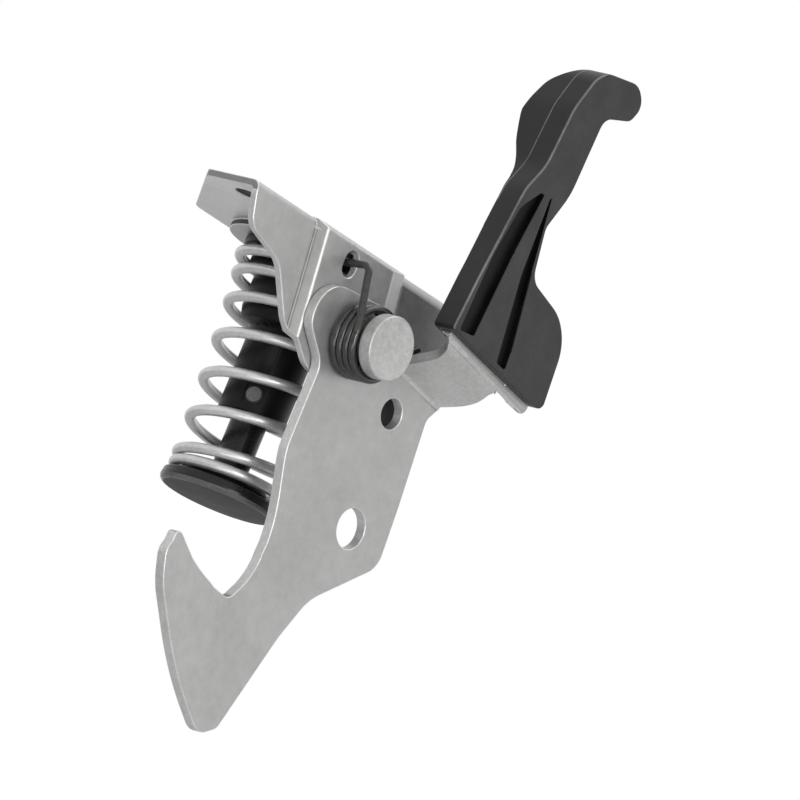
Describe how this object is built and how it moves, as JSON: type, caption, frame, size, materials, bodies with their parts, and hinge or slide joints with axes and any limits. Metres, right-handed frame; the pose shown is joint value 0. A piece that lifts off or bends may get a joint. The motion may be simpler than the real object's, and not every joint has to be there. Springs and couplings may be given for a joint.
{
  "type": "bonnet latch",
  "caption": "Bonnet latch with a sprung lifting plunger and a hand-released safety hook on a folded steel mounting bracket.",
  "frame": {"origin": "midway between the two mounting holes, on the bracket face that meets the bonnet", "axes": "+Z out of the mounting face into the bonnet, +X along the bracket towards the release handle, -Y towards the safety hook"},
  "size_m": [0.112, 0.0738, 0.1966],
  "materials": {
    "plated_sheet": "satin zinc plate",
    "plated_rivet": "satin zinc plate",
    "handle_plastic": "black moulding, fine grain",
    "guide_plastic": "black moulding",
    "plunger_plastic": "dark grey moulding",
    "lift_spring_wire": "zinc plated wire",
    "return_spring_wire": "oiled black wire"
  },
  "bodies": {
    "bracket": {"mounting_bracket": "plated_sheet", "pivot_rivet": "plated_rivet", "spring_seat": "guide_plastic", "plunger_guide": "guide_plastic", "lift_spring": "lift_spring_wire", "return_spring": "return_spring_wire"},
    "hook": {"hook_lever": "plated_sheet", "release_handle": "handle_plastic"},
    "lifter": {"plunger": "plunger_plastic"}
  },
  "joints": [
    {"name": "hook_swing", "type": "hinge", "parent": "bracket", "child": "hook", "pos_m": [-0.0091, 0, -0.023], "axis": [0, -1, 0], "range_deg": [0, 25], "stiffness_Nm_per_rad": 0.3, "springref_deg": -22.92, "deforming": ["return_spring"]},
    {"name": "plunger_lift", "type": "slide", "parent": "bracket", "child": "lifter", "axis": [0, 0, 1], "range_m": [0, 0.015], "stiffness_N_per_m": 2500, "springref_m": -0.012, "deforming": ["lift_spring"]}
  ]
}
